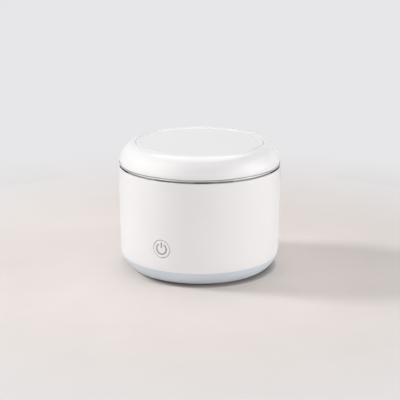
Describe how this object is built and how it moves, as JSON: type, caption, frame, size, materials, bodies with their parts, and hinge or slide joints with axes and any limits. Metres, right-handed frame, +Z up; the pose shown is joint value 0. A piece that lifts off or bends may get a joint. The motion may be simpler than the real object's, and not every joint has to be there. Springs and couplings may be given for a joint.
{
  "type": "ultrasonic retainer cleaner",
  "caption": "Round ultrasonic cleaner for dental retainers: pillow-edged lift-off lid over a drawn steel tank in a moulded housing, with a pale base and a push button.",
  "frame": {"origin": "centre of the footprint, on the surface that the feet stand on", "axes": "+Z up, -Y towards the power button, +Y towards the power inlet, +X to the right seen from the button"},
  "size_m": [0.112, 0.112, 0.0885],
  "materials": {
    "lid_white": "glossy moulded plastic",
    "body_white": "satin moulded plastic",
    "base_blue": "satin moulded plastic",
    "tank_steel": "polished stainless sheet",
    "silicone": "soft silicone",
    "foot_rubber": "dull rubber",
    "fastener_steel": "plated steel",
    "piezo_ceramic": "fired ceramic",
    "lead_red": "insulated wire",
    "lead_black": "insulated wire",
    "board": "solder mask",
    "ferrite": "sintered ferrite",
    "tape": "taped winding",
    "capacitor_can": "sleeved can",
    "capacitor_box": "moulded box",
    "black_plastic": "moulded black plastic",
    "connector_white": "moulded nylon",
    "ribbon": "flat cable"
  },
  "bodies": {
    "base": {"housing": "body_white", "base_cover": "base_blue", "tank": "tank_steel", "tank_gasket": "silicone", "foot_1": "foot_rubber", "foot_2": "foot_rubber", "foot_3": "foot_rubber", "foot_4": "foot_rubber", "base_screws": "fastener_steel", "board_screws": "fastener_steel", "button_board_screws": "fastener_steel", "jack_pin": "fastener_steel", "piezo_disc": "piezo_ceramic", "piezo_lead_live": "lead_red", "piezo_lead_return": "lead_black", "driver_board": "board", "button_board": "board", "transformer_core": "ferrite", "choke": "ferrite", "transformer_coil": "tape", "input_capacitor": "capacitor_can", "film_capacitor": "capacitor_box", "power_transistor": "black_plastic", "control_chip": "black_plastic", "dc_jack": "black_plastic", "switch_body": "black_plastic", "piezo_connector": "connector_white", "button_connector": "connector_white", "button_cable": "ribbon"},
    "lid": {"lid_shell": "lid_white", "lid_top_disc": "lid_white", "lid_liner": "body_white", "lid_gasket": "silicone"},
    "button": {"power_button": "body_white", "switch_plunger": "black_plastic"}
  },
  "joints": [
    {"name": "lid_lift", "type": "slide", "parent": "base", "child": "lid", "axis": [0, 0, 1], "range_m": [0, 0.09]},
    {"name": "button_press", "type": "slide", "parent": "base", "child": "button", "axis": [0, 1, 0], "range_m": [0, 0.0005], "stiffness_N_per_m": 3000, "springref_m": -0.0002}
  ]
}
